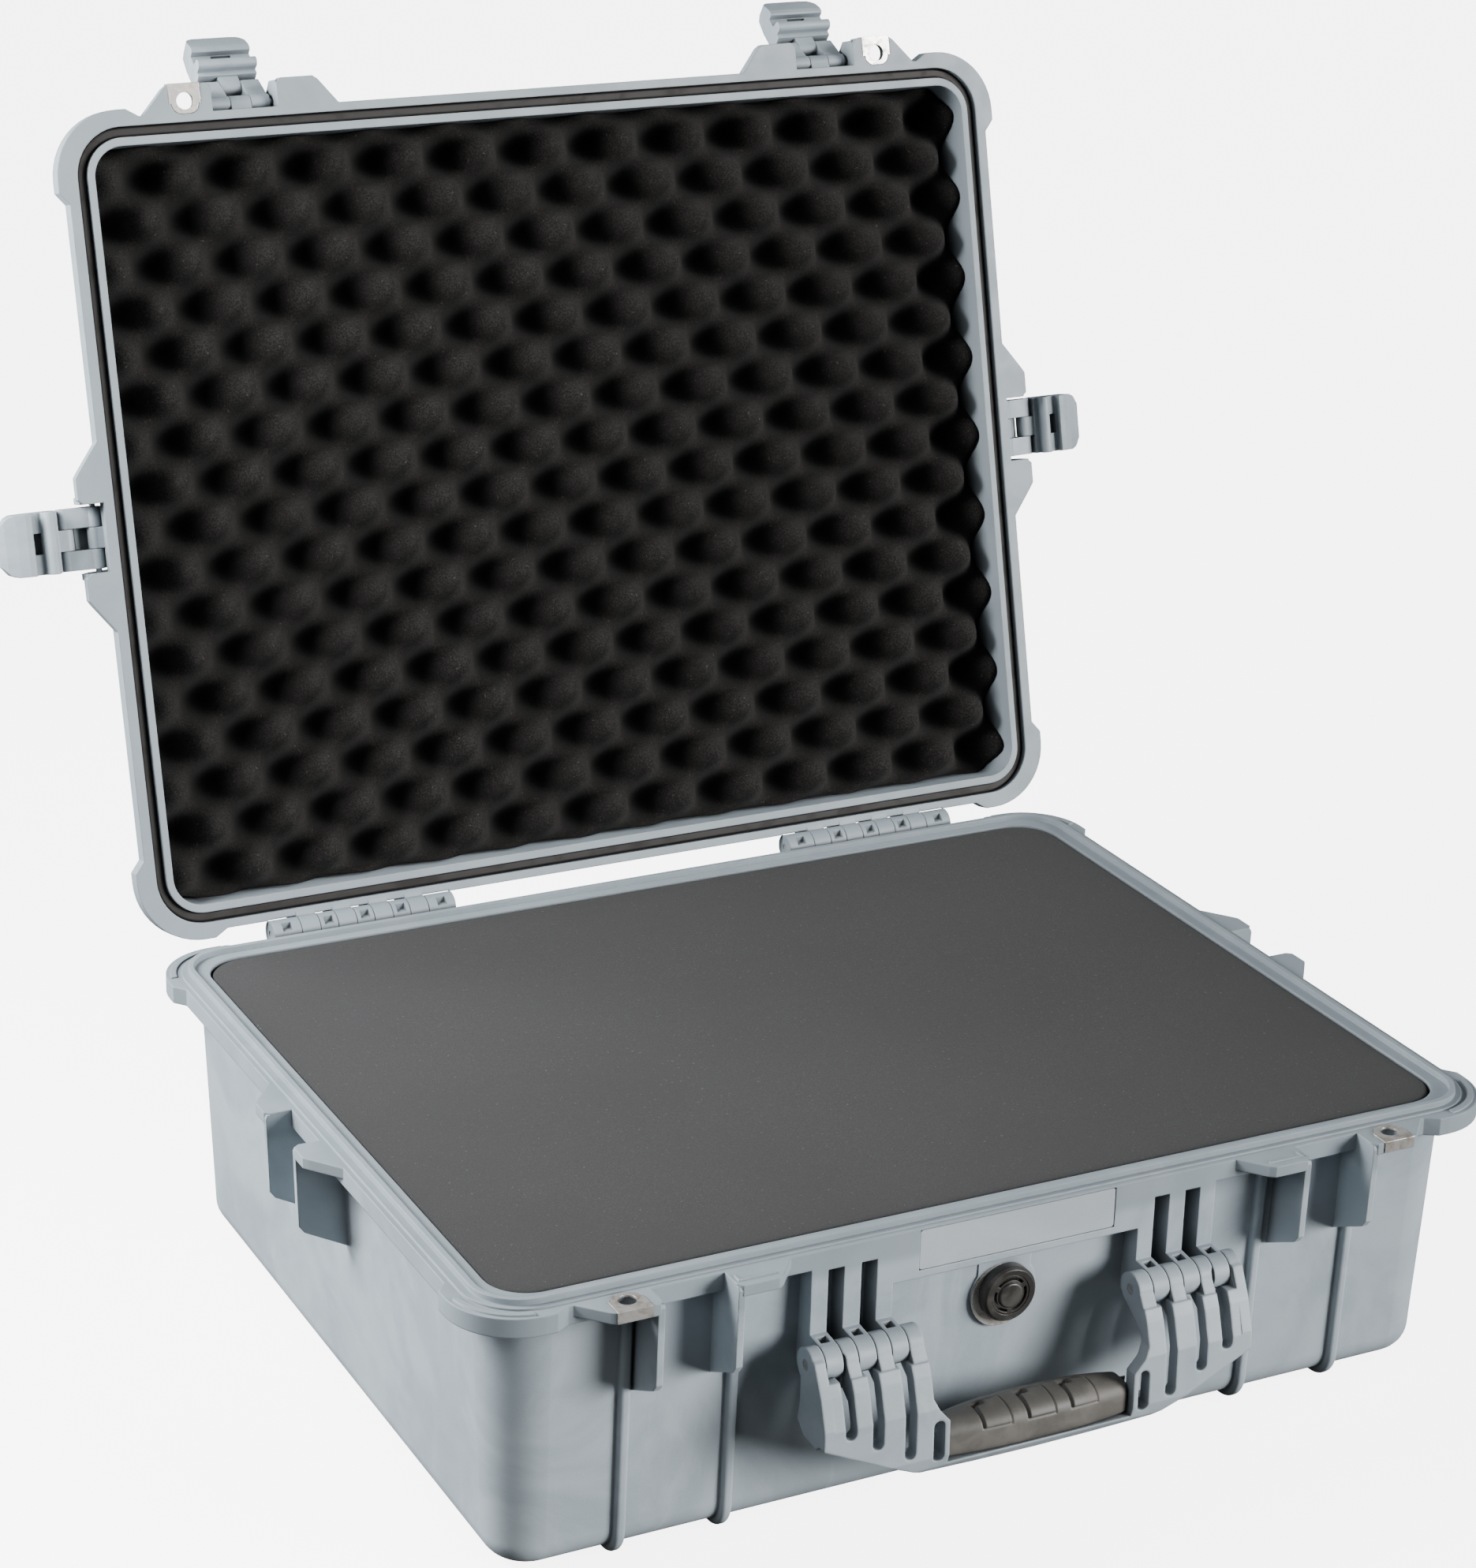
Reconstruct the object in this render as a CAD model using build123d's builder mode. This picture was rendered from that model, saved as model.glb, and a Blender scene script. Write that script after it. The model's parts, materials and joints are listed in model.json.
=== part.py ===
from build123d import *
import os
from math import cos, radians, sin, tan

os.makedirs("parts", exist_ok=True)

# A moulded, watertight equipment case, modelled standing open.
# Millimetres. X runs along the front, the handle is on the -Y side and the hinges on the
# +Y side. Z = 0 is the plane of the four skid ribs that the case rests on.
# The lid and everything on it is drawn closed, then swung back about the hinge axis.

# ---- driving dimensions -------------------------------------------------------------
RIM_Z = 160.0              # mating plane of base and lid
FLOOR_Z = 4.0              # underside of the tub, above the skid ribs
DRAFT = 2.4                # degrees, on every moulded wall
WALL_X, WALL_Y = 282.0, 220.5        # half sizes of the tub's outside at the rim
WALL_R = 30.0
CAVITY_X, CAVITY_Y = 276.0, 214.5    # half sizes of the tub's inside at the rim
CAVITY_FLOOR_Z = 8.5
TONGUE_X, TONGUE_Y = 283.0, 221.5    # half sizes of the tongue's inner face
TONGUE_R, TONGUE_T, TONGUE_H = 23.0, 3.2, 3.2
FLANGE_X, FLANGE_Y, FLANGE_R = 293.5, 231.0, 34.0    # half sizes of the rim flange
SKIRT = 11.0               # height of the base flange
LEDGE_DROP, LEDGE_W = 1.0, 3.0       # the flange's outer margin lies a little lower
EAR_X, EAR_Y, EAR_R = 299.0, 235.5, 37.0             # rounded corner ears
EAR_ARC_INNER, EAR_ARC_OUTER = 31.0, 34.5            # raised arc on each base ear
BAR_L, BAR_W, BAR_H = 19.0, 1.5, 1.4                 # raised bar on each inner front lug

LID_GAP = 0.3              # parting gap when closed
LID_Z = RIM_Z + LID_GAP
LID_FLANGE = 10.0
LID_TOP_Z = RIM_Z + 53.0
LID_RIB_TOP_Z = 220.0
LID_CAVITY_X, LID_CAVITY_Y, LID_CAVITY_R = 277.5, 215.3, 17.0
LID_CAVITY_TOP_Z = RIM_Z + 46.0
GROOVE_X, GROOVE_Y = 284.5, 223.0    # half sizes of the seal groove's centre line
GROOVE_W, GROOVE_D = 6.0, 7.0
SEAL_W, SEAL_H = 5.6, 3.8
LID_FOAM_H = 41.0
FOAM_INSET = 1.2
LID_OPEN = 104.5           # degrees from closed to the open stop

HINGE_Y, HINGE_Z = 238.8, RIM_Z - 1.0
KNUCKLE_R, KNUCKLE_NOTCH_R = 8.0, 8.6
HINGE_PIN_R = 2.2
HINGE_START = 111.0        # |X| where a hinge begins
HINGE_END, HINGE_LID, HINGE_MID = 16.75, 12.0, 10.5  # widths of its nine segments
HINGE_PLAY = 0.4           # end play of each lid knuckle

LATCH_X = 185.5            # |X| of the front latches
LATCH_OUT, LATCH_Z = 3.5, RIM_Z + 12.0      # pivot of the links: past the flange edge, height
LATCH_PIN_R = 1.75
BLOCK_V = 6.0              # half width of the block between a link's arms
LATCH_STOP = 132.0         # degrees from latched to the stop, where the front latches lie
SIDE_LATCH_TURN = 90.0     # the side latches stand straight out
RUNNING_FIT = 0.05         # radial play of every bore that turns on a pin
BAY = 19.6                 # half width of a latch bay
LUG_OUT_FRONT, LUG_OUT_SIDE = 16.0, 14.5    # lugs stand this far past the flange
LUG_T = 6.0
FIN_T = 3.6
FIN_FRONT_DROP, FIN_ROOT_DROP = 46.5, 63.0  # lower end of each base fin
CHEEK_FRONT_RISE, CHEEK_ROOT_RISE = 19.0, 30.0       # upper end of each lid cheek
PADLOCK_X, PADLOCK_Y, PADLOCK_R = 221.0, 237.6, 4.8
PADLOCK_PLATE_W, PADLOCK_PLATE_L, PADLOCK_PLATE_T = 18.5, 17.0, 1.2
PADLOCK_FLAP = 6.2
PADLOCK_FRONT = FLANGE_Y + LUG_OUT_FRONT + 0.6       # |Y| of the folded flaps
BASE_PLATE_Z, LID_PLATE_Z = RIM_Z - 1.5, RIM_Z       # undersides of the plates

RIB_X = (154.0, 213.0)     # |X| of the skid ribs
RIB_W, RIB_OUT = 6.0, 4.0

PANEL_X, PANEL_DROP = 71.5, 28.5     # backing of the name plate
PLATE_X, PLATE_TOP_DROP, PLATE_BOTTOM_DROP, PLATE_T = 57.0, 2.0, 24.5, 1.4

HANDLE_Y, HANDLE_Z = -240.8, RIM_Z - 57.0            # handle pins
HANDLE_PIN_R = 2.6
GRIP_X = 52.5              # half width of the grip
LIP_Z = RIM_Z - 117.5      # shelf of the frame that the grip stands on
BARREL_R = 9.2
BOSS_X = (71.7, 117.8)
BOSS_SLOTS = ((80.9, 89.9), (99.5, 108.5))
BOSS_SLOT_TOP, BOSS_BOTTOM = 12.5, 50.0
BOSS_LANDS = ((71.7, 80.9), (89.9, 99.5), (108.5, 117.8))    # the knuckles left between them
FINGERS = ((63.0, 71.2), (81.4, 89.4), (100.0, 108.0), (118.3, 125.0))

VALVE_Z = RIM_Z - 53.0
VALVE_R = 15.4
VALVE_SEAT, VALVE_INNER_SEAT = 219.6, 210.6          # |Y| of the flat seats, outside and inside
VALVE_SHANK_R = 8.8

SLOPE = tan(radians(DRAFT))
SIDES = (-1, 1)
RIB_PLACES = [side * x for side in SIDES for x in RIB_X]


def wall_y(z):
    """Half depth of the tub's outside at height z."""
    return WALL_Y - (RIM_Z - z) * SLOPE


def cavity_y(z):
    """Half depth of the tub's inside at height z."""
    return CAVITY_Y - (RIM_Z - z) * SLOPE


def save(part, name):
    """Label a finished piece and write it."""
    part.label = name
    export_step(part, f"parts/{name}.step")


def swing_open(part):
    """Take a lid piece from its closed place to the open rest pose."""
    return part.rotate(Axis((0, HINGE_Y, HINGE_Z), (1, 0, 0)), -LID_OPEN)


def hinge_segments():
    """(start, end, belongs to the base) along |X| for the nine segments of a hinge."""
    widths = [HINGE_END] + [HINGE_LID, HINGE_MID] * 3 + [HINGE_LID, HINGE_END]
    segments = []
    start = HINGE_START
    for index, width in enumerate(widths):
        segments.append((start, start + width, index % 2 == 0))
        start += width
    return segments


def spans(start, end):
    """The same |X| span on both sides of the case, as (low, high) pairs."""
    return [(-end, -start), (start, end)]


# ---- rim outlines shared by base and lid ----------------------------------------------
with BuildSketch() as ear_outline:
    with BuildLine():
        Polyline((240, 215), (246, 229.5), (256, EAR_Y), (EAR_X - EAR_R, EAR_Y))
        CenterArc((EAR_X - EAR_R, EAR_Y - EAR_R), EAR_R, 0, 90)
        Polyline((EAR_X, EAR_Y - EAR_R), (EAR_X, 192), (292.5, 184), (275, 184), (240, 215))
    make_face()
    mirror(about=Plane.YZ)
    mirror(about=Plane.XZ)

with BuildSketch() as flange_outline:
    RectangleRounded(2 * FLANGE_X, 2 * FLANGE_Y, FLANGE_R)
    add(ear_outline.sketch)


def lug_points(out, front_end, flange_end):
    """Outline of one lug: along the rim from the bay's edge, and outward."""
    return [(BAY, -5), (BAY, out - 3), (BAY + 2.5, out), (front_end - 2, out),
            (front_end + 1, out - 2), (flange_end, 0), (flange_end, -5)]


def front_lug(side, outer):
    """Plan of a front lug: side is the sign of X."""
    ends = (46.5, 60.5) if outer else (43.5, 56.0)
    direction = side if outer else -side
    points = lug_points(LUG_OUT_FRONT, *ends)
    return [(side * LATCH_X + direction * s, -(FLANGE_Y + t)) for s, t in points]


def side_lug(side, end):
    """Plan of a side lug: end is the sign of Y."""
    points = lug_points(LUG_OUT_SIDE, 36.5, 54.0)
    return [(side * (FLANGE_X + t), end * s) for s, t in points]


lugs = [front_lug(side, outer) for side in SIDES for outer in (False, True)]
lugs += [side_lug(side, end) for side in SIDES for end in SIDES]
with BuildSketch() as lug_outline:
    for lug in lugs:
        with BuildLine():
            Polyline(*lug, close=True)
        make_face()


def latch_planes():
    """Latch planes on the closed lid: front left, front right, left side, right side."""
    reach_y = -(FLANGE_Y + LATCH_OUT)
    reach_x = FLANGE_X + LATCH_OUT
    return [Plane((-LATCH_X, reach_y, LATCH_Z), (0, -1, 0), (-1, 0, 0)),
            Plane((LATCH_X, reach_y, LATCH_Z), (0, -1, 0), (-1, 0, 0)),
            Plane((-reach_x, 0, LATCH_Z), (-1, 0, 0), (0, 1, 0)),
            Plane((reach_x, 0, LATCH_Z), (1, 0, 0), (0, -1, 0))]


def bay_faces():
    """The 8 fin places: a plane on each bay edge, x outward and y up, and how far it stands out."""
    places = []
    for side in SIDES:
        for direction in SIDES:
            front = Plane((side * LATCH_X + direction * BAY, -FLANGE_Y, 0), (0, -1, 0), (-1, 0, 0))
            places.append((front, -direction, LUG_OUT_FRONT))
            flank = Plane((side * FLANGE_X, direction * BAY, 0), (side, 0, 0), (0, -side, 0))
            places.append((flank, -side * direction, LUG_OUT_SIDE))
    return places


def padlock_blank(x, z, fold, grow):
    """A padlock plate from height z upward, its front flap folded up (1) or down (-1)."""
    half = PADLOCK_PLATE_W / 2 + grow
    wide_run = PADLOCK_PLATE_L - 5.5
    with BuildPart() as blank:
        with BuildSketch(Plane.XY.offset(z)):
            with Locations((x, -PADLOCK_FRONT + wide_run / 2)):
                Rectangle(2 * half, wide_run)
            with Locations((x, -PADLOCK_FRONT + PADLOCK_PLATE_L - 7 + grow)):
                RectangleRounded(2 * half - 3, 14, 5.5)
        extrude(amount=PADLOCK_PLATE_T)
        flap_z = z + PADLOCK_PLATE_T / 2 + fold * (PADLOCK_FLAP - PADLOCK_PLATE_T) / 2
        with Locations((x, -PADLOCK_FRONT + PADLOCK_PLATE_T / 2, flap_z)):
            Box(2 * half, PADLOCK_PLATE_T, PADLOCK_FLAP + grow)
    return blank.part


def rounded_rib(points, corner_group, corner_radius):
    """A rib in the YZ plane, centred on X = 0, with a rounded back: outline, which corners to round."""
    with BuildPart() as rib:
        with BuildSketch(Plane.YZ.offset(-RIB_W / 2)) as profile:
            with BuildLine():
                Polyline(*points, close=True)
            make_face()
            fillet(profile.vertices().group_by(Axis.Y)[corner_group], corner_radius)
        extrude(amount=RIB_W)
        sides = rib.faces().filter_by(Axis.X)
        fillet(sides.edges(), RIB_W / 2 - 0.6)
    return rib


rib_top = RIM_Z - 8
base_rib = rounded_rib([(-wall_y(rib_top) - RIB_OUT, rib_top), (-wall_y(0) - RIB_OUT, 0),
                        (wall_y(0) + RIB_OUT, 0), (wall_y(rib_top) + RIB_OUT, rib_top)], 0, 18)
rib_foot = RIM_Z + 8
lid_reach = WALL_Y - (LID_RIB_TOP_Z - RIM_Z) * SLOPE + RIB_OUT
lid_rib = rounded_rib([(-WALL_Y - RIB_OUT, rib_foot), (-lid_reach, LID_RIB_TOP_Z),
                       (lid_reach, LID_RIB_TOP_Z), (WALL_Y + RIB_OUT, rib_foot)], -1, 15)


# ---- base shell ---------------------------------------------------------------------
with BuildPart() as base_shell:
    # drafted tub with a rounded bottom edge
    with BuildSketch(Plane.XY.offset(RIM_Z - 2)):
        RectangleRounded(2 * WALL_X, 2 * WALL_Y, WALL_R)
    extrude(amount=-(RIM_Z - 2 - FLOOR_Z), taper=DRAFT)
    fillet(base_shell.faces().sort_by(Axis.Z)[0].edges(), 15)

    # skid ribs down the front, under the floor and up the back
    for x in RIB_PLACES:
        add(base_rib.part.moved(Location((x, 0, 0))))

    # rim flange, its raised inner platform, the tongue, ears and lugs
    with BuildSketch(Plane.XY.offset(RIM_Z - SKIRT)):
        add(flange_outline.sketch)
    extrude(amount=SKIRT - LEDGE_DROP)
    with BuildSketch(Plane.XY.offset(RIM_Z - LEDGE_DROP)):
        RectangleRounded(2 * (FLANGE_X - LEDGE_W), 2 * (FLANGE_Y - LEDGE_W), FLANGE_R - LEDGE_W)
    extrude(amount=LEDGE_DROP)
    with BuildSketch(Plane.XY.offset(RIM_Z)):
        RectangleRounded(2 * (TONGUE_X + TONGUE_T), 2 * (TONGUE_Y + TONGUE_T), TONGUE_R + TONGUE_T)
        RectangleRounded(2 * TONGUE_X, 2 * TONGUE_Y, TONGUE_R, mode=Mode.SUBTRACT)
    extrude(amount=TONGUE_H)
    with BuildSketch(Plane.XY.offset(RIM_Z - LEDGE_DROP - LUG_T)):
        add(lug_outline.sketch)
    extrude(amount=LUG_T)

    # a fin on each side of each latch bay, from the lug down to the wall
    for plane, direction, out in bay_faces():
        with BuildSketch(plane):
            with BuildLine():
                Polyline((-15, RIM_Z - 2), (out - 1, RIM_Z - 2), (out - 0.2, RIM_Z - 4),
                         (out - 1.5, RIM_Z - FIN_FRONT_DROP), (out - 4.5, RIM_Z - FIN_FRONT_DROP - 4),
                         (-13.5, RIM_Z - FIN_ROOT_DROP), (-15, RIM_Z - FIN_ROOT_DROP), close=True)
            make_face()
        extrude(amount=direction * FIN_T)

    # backing of the name plate and the two handle bosses with their slots
    with BuildSketch(Plane.XZ.offset(FLANGE_Y)):
        with Locations((0, RIM_Z - LEDGE_DROP - (PANEL_DROP - LEDGE_DROP) / 2)):
            Rectangle(2 * PANEL_X + 1, PANEL_DROP - LEDGE_DROP)
        for low, high in spans(*BOSS_X):
            with Locations(((low + high) / 2, RIM_Z - (LEDGE_DROP + BOSS_BOTTOM) / 2)):
                Rectangle(high - low, BOSS_BOTTOM - LEDGE_DROP)
    extrude(amount=-(FLANGE_Y - wall_y(HANDLE_Z) + 2))

    # handle knuckles on the fins of each boss
    for low, high in spans(*BOSS_X):
        with BuildSketch(Plane.YZ.offset(low)):
            with BuildLine():
                Polyline((-FLANGE_Y, HANDLE_Z + BARREL_R + 1), (HANDLE_Y, HANDLE_Z + BARREL_R),
                         (HANDLE_Y, HANDLE_Z - BARREL_R), (-wall_y(HANDLE_Z) + 2, HANDLE_Z - BARREL_R - 4),
                         (-wall_y(HANDLE_Z) + 2, HANDLE_Z + BARREL_R + 1), close=True)
            make_face()
            with Locations((HANDLE_Y, HANDLE_Z)):
                Circle(BARREL_R)
        extrude(amount=high - low)
    for slot in BOSS_SLOTS:
        for low, high in spans(*slot):
            with BuildSketch(Plane.XZ.offset(FLANGE_Y + 25)):
                with Locations(((low + high) / 2, RIM_Z - BOSS_SLOT_TOP - 35)):
                    Rectangle(high - low, 70)
            extrude(amount=-(FLANGE_Y + 25 - wall_y(HANDLE_Z) - 0.4), mode=Mode.SUBTRACT)

    # a square pocket in the top of each handle knuckle
    for low, high in BOSS_LANDS:
        for start, end in spans(low, high):
            with Locations(((start + end) / 2, HANDLE_Y + 4.2, HANDLE_Z + BARREL_R)):
                Box(5.2, 5.4, 8, mode=Mode.SUBTRACT)

    # hinge knuckles along the back of the flange
    for start, end, on_base in hinge_segments():
        if on_base:
            for low, high in spans(start, end):
                with BuildSketch(Plane.YZ.offset(low)):
                    with Locations((HINGE_Y, HINGE_Z)):
                        Circle(KNUCKLE_R)
                    with BuildLine():
                        Polyline((FLANGE_Y - 1, HINGE_Z), (HINGE_Y + KNUCKLE_R, HINGE_Z),
                                 (HINGE_Y + KNUCKLE_R - 3, HINGE_Z - 9), (FLANGE_Y - 1, HINGE_Z - 22),
                                 close=True)
                    make_face()
                extrude(amount=high - low)
                with Locations(((low + high) / 2, HINGE_Y - 5.6, HINGE_Z + 6.2)):
                    Box(5.6, 5.4, 5, mode=Mode.SUBTRACT)
        else:
            for low, high in spans(start, end):
                with BuildSketch(Plane.YZ.offset(low)):
                    with Locations((HINGE_Y, HINGE_Z)):
                        Circle(KNUCKLE_NOTCH_R)
                extrude(amount=high - low, mode=Mode.SUBTRACT)

    # half-round nubs behind the rim
    with Locations((-253, FLANGE_Y, RIM_Z - 6), (253, FLANGE_Y, RIM_Z - 6)):
        Cylinder(5, 9)

    # inside of the tub
    with BuildSketch(Plane.XY.offset(RIM_Z)):
        RectangleRounded(2 * CAVITY_X, 2 * CAVITY_Y, TONGUE_R)
    extrude(amount=-(RIM_Z - CAVITY_FLOOR_Z), taper=DRAFT, mode=Mode.SUBTRACT)
    with BuildSketch(Plane.XY.offset(RIM_Z)):
        RectangleRounded(2 * TONGUE_X, 2 * TONGUE_Y, TONGUE_R)
    extrude(amount=TONGUE_H, mode=Mode.SUBTRACT)

    # flat seats for the valve, outside and inside, and a raised arc on each ear
    valve_axis = Plane((0, -VALVE_SEAT, VALVE_Z), (1, 0, 0), (0, -1, 0))
    with Locations(valve_axis):
        with Locations((0, 0, -2)):
            Cylinder(18.8, 4)
        with Locations((0, 13, -2)):
            Box(31, 24, 4)
        with Locations((0, 0, VALVE_INNER_SEAT - VALVE_SEAT + 1.5)):
            Cylinder(16, 3)
    with BuildSketch(Plane.XY.offset(RIM_Z - LEDGE_DROP)) as ear_arcs:
        for x in (-1, 1):
            for y in (-1, 1):
                with Locations((x * (EAR_X - EAR_R), y * (EAR_Y - EAR_R))):
                    Circle(EAR_ARC_OUTER)
                    Circle(EAR_ARC_INNER, mode=Mode.SUBTRACT)
        with Locations((0, 0)):
            Rectangle(2 * (EAR_X - EAR_R + 4), 700, mode=Mode.SUBTRACT)
            Rectangle(700, 2 * (EAR_Y - EAR_R + 4), mode=Mode.SUBTRACT)
    extrude(amount=0.9)

    # a thin raised bar along each inner front lug
    for side in SIDES:
        bar_end = LATCH_X - BAY - FIN_T
        bar_y = -(FLANGE_Y + LUG_OUT_FRONT - 5.5)
        with Locations((side * (bar_end - BAR_L / 2), bar_y, RIM_Z - LEDGE_DROP)):
            Box(BAR_L, BAR_W, BAR_H)
        with Locations((side * (bar_end + BAR_W / 2), bar_y + 2.0, RIM_Z - LEDGE_DROP)):
            Box(BAR_W, 5.5, BAR_H)

    # bores: hinge pins, handle pins, valve, padlock holes; the name plate's recess
    with BuildSketch(Plane.YZ):
        with Locations((HINGE_Y, HINGE_Z)):
            Circle(HINGE_PIN_R)
        with Locations((HANDLE_Y, HANDLE_Z)):
            Circle(HANDLE_PIN_R)
    extrude(amount=300, both=True, mode=Mode.SUBTRACT)
    with Locations(valve_axis):
        Cylinder(VALVE_SHANK_R + 0.1, 40, mode=Mode.SUBTRACT)
    with Locations((-PADLOCK_X, -PADLOCK_Y, RIM_Z), (PADLOCK_X, -PADLOCK_Y, RIM_Z)):
        Cylinder(PADLOCK_R + PADLOCK_PLATE_T, 30, mode=Mode.SUBTRACT)
    for side in SIDES:
        add(padlock_blank(side * PADLOCK_X, BASE_PLATE_Z, -1, 0.1), mode=Mode.SUBTRACT)
    with BuildSketch(Plane.XZ.offset(FLANGE_Y)):
        with Locations((0, RIM_Z - (PLATE_TOP_DROP + PLATE_BOTTOM_DROP) / 2)):
            Rectangle(2 * PLATE_X, PLATE_BOTTOM_DROP - PLATE_TOP_DROP)
    extrude(amount=-PLATE_T, mode=Mode.SUBTRACT)

save(base_shell.part, "base_shell")


# ---- lid shell, drawn closed ----------------------------------------------------------
with BuildPart() as lid_shell:
    # rim flange with its ears and lugs
    with BuildSketch(Plane.XY.offset(LID_Z)):
        add(flange_outline.sketch)
    extrude(amount=LID_FLANGE - LID_GAP)
    with BuildSketch(Plane.XY.offset(LID_Z)):
        add(lug_outline.sketch)
    extrude(amount=LUG_T)

    # shallow drafted shell with a rounded top edge
    with BuildSketch(Plane.XY.offset(RIM_Z + 2)):
        RectangleRounded(2 * WALL_X, 2 * WALL_Y, WALL_R)
    extrude(amount=LID_TOP_Z - RIM_Z - 2, taper=DRAFT)
    fillet(lid_shell.faces().sort_by(Axis.Z)[-1].edges(), 12)

    # ribs up the front, over the top and down the back
    for x in RIB_PLACES:
        add(lid_rib.part.moved(Location((x, 0, 0))))

    # cheeks beside each latch, the block between the link's arms, and relief for its barrels
    for plane, direction, out in bay_faces():
        with BuildSketch(plane):
            with BuildLine():
                Polyline((-15, RIM_Z + 2), (out - 1, RIM_Z + 2), (out - 1, RIM_Z + CHEEK_FRONT_RISE - 6),
                         (out - 7, RIM_Z + CHEEK_FRONT_RISE), (-16, RIM_Z + CHEEK_ROOT_RISE), close=True)
            make_face()
        extrude(amount=direction * FIN_T)
    for bay in latch_planes():
        with BuildSketch(bay.offset(-BAY)):
            Circle(5.3)
        extrude(amount=2 * BAY, mode=Mode.SUBTRACT)
        with BuildSketch(bay.offset(-BLOCK_V)):
            Circle(4.5)
            with BuildLine():
                Polyline((0, -4.5), (-2.8, 3.5), (-16.5, 5), (-16.5, -5), (-6, -6), close=True)
            make_face()
        extrude(amount=2 * BLOCK_V)

    # hinge knuckles along the back of the flange
    for start, end, on_base in hinge_segments():
        for low, high in spans(start, end):
            if on_base:
                with BuildSketch(Plane.YZ.offset(low)):
                    with Locations((HINGE_Y, HINGE_Z)):
                        Circle(KNUCKLE_NOTCH_R)
                extrude(amount=high - low, mode=Mode.SUBTRACT)
            else:
                with BuildSketch(Plane.YZ.offset(low + HINGE_PLAY)):
                    with Locations((HINGE_Y, HINGE_Z)):
                        Circle(KNUCKLE_R)
                    with BuildLine():
                        Polyline((FLANGE_Y - 3, LID_Z), (HINGE_Y, HINGE_Z), (HINGE_Y + KNUCKLE_R, HINGE_Z),
                                 (HINGE_Y + KNUCKLE_R - 3, HINGE_Z + 9), (FLANGE_Y - 3, RIM_Z + 24),
                                 close=True)
                    make_face()
                extrude(amount=high - low - 2 * HINGE_PLAY)

    # inside, and the groove for the seal
    with BuildSketch(Plane.XY.offset(LID_Z)):
        RectangleRounded(2 * LID_CAVITY_X, 2 * LID_CAVITY_Y, LID_CAVITY_R)
    extrude(amount=LID_CAVITY_TOP_Z - LID_Z, taper=DRAFT, mode=Mode.SUBTRACT)
    with BuildSketch(Plane.XY.offset(LID_Z)):
        RectangleRounded(2 * GROOVE_X + GROOVE_W, 2 * GROOVE_Y + GROOVE_W, TONGUE_R + 4.5)
        RectangleRounded(2 * GROOVE_X - GROOVE_W, 2 * GROOVE_Y - GROOVE_W, TONGUE_R - 1.5,
                         mode=Mode.SUBTRACT)
    extrude(amount=GROOVE_D, mode=Mode.SUBTRACT)

    # bores: hinge pins, latch pins, padlock holes and the padlock plates' seats
    with BuildSketch(Plane.YZ):
        with Locations((HINGE_Y, HINGE_Z)):
            Circle(HINGE_PIN_R + RUNNING_FIT)
    extrude(amount=300, both=True, mode=Mode.SUBTRACT)
    for bay in latch_planes():
        with BuildSketch(bay.offset(-BAY - FIN_T - 1)):
            Circle(LATCH_PIN_R)
        extrude(amount=2 * (BAY + FIN_T + 1), mode=Mode.SUBTRACT)
    with Locations((-PADLOCK_X, -PADLOCK_Y, RIM_Z), (PADLOCK_X, -PADLOCK_Y, RIM_Z)):
        Cylinder(PADLOCK_R + PADLOCK_PLATE_T, 30, mode=Mode.SUBTRACT)
    for side in SIDES:
        add(padlock_blank(side * PADLOCK_X, LID_PLATE_Z, 1, 0.1), mode=Mode.SUBTRACT)

save(swing_open(lid_shell.part), "lid_shell")


# ---- seal, foam, name plate -------------------------------------------------------------
with BuildPart() as lid_seal:
    seal_top = LID_Z + GROOVE_D
    with BuildSketch(Plane.XY.offset(seal_top - SEAL_H)):
        RectangleRounded(2 * GROOVE_X + SEAL_W, 2 * GROOVE_Y + SEAL_W, TONGUE_R + 1.5 + SEAL_W / 2)
        RectangleRounded(2 * GROOVE_X - SEAL_W, 2 * GROOVE_Y - SEAL_W, TONGUE_R + 1.5 - SEAL_W / 2,
                         mode=Mode.SUBTRACT)
    extrude(amount=SEAL_H)
    fillet(lid_seal.faces().sort_by(Axis.Z)[0].edges(), 1.6)
save(swing_open(lid_seal.part), "lid_seal")

with BuildPart() as lid_foam:
    with BuildSketch(Plane.XY.offset(LID_CAVITY_TOP_Z)):
        inset = (LID_CAVITY_TOP_Z - RIM_Z) * SLOPE + 0.3
        RectangleRounded(2 * (LID_CAVITY_X - inset), 2 * (LID_CAVITY_Y - inset), LID_CAVITY_R - inset)
    extrude(amount=-LID_FOAM_H)
save(swing_open(lid_foam.part), "lid_foam")

LAYERS = {"foam_base_pad": (CAVITY_FLOOR_Z, 18.5), "foam_lower_layer": (18.5, 89.0),
          "foam_upper_layer": (89.0, RIM_Z - 0.4)}
for name, (low, high) in LAYERS.items():
    with BuildPart() as layer:
        inset = (RIM_Z - high) * SLOPE + FOAM_INSET
        with BuildSketch(Plane.XY.offset(high)):
            RectangleRounded(2 * (CAVITY_X - inset), 2 * (CAVITY_Y - inset), TONGUE_R - inset)
        extrude(amount=low - high, taper=DRAFT)
        # room for the valve's nut
        with Locations((0, -CAVITY_Y, VALVE_Z)):
            Box(36, 24, 36, mode=Mode.SUBTRACT)
    save(layer.part, name)

with BuildPart() as nameplate:
    with BuildSketch(Plane.XZ.offset(FLANGE_Y - PLATE_T)):
        with Locations((0, RIM_Z - (PLATE_TOP_DROP + PLATE_BOTTOM_DROP) / 2)):
            RectangleRounded(2 * PLATE_X - 0.6, PLATE_BOTTOM_DROP - PLATE_TOP_DROP - 0.6, 1.5)
    extrude(amount=PLATE_T - 0.3)
save(nameplate.part, "nameplate")


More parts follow.
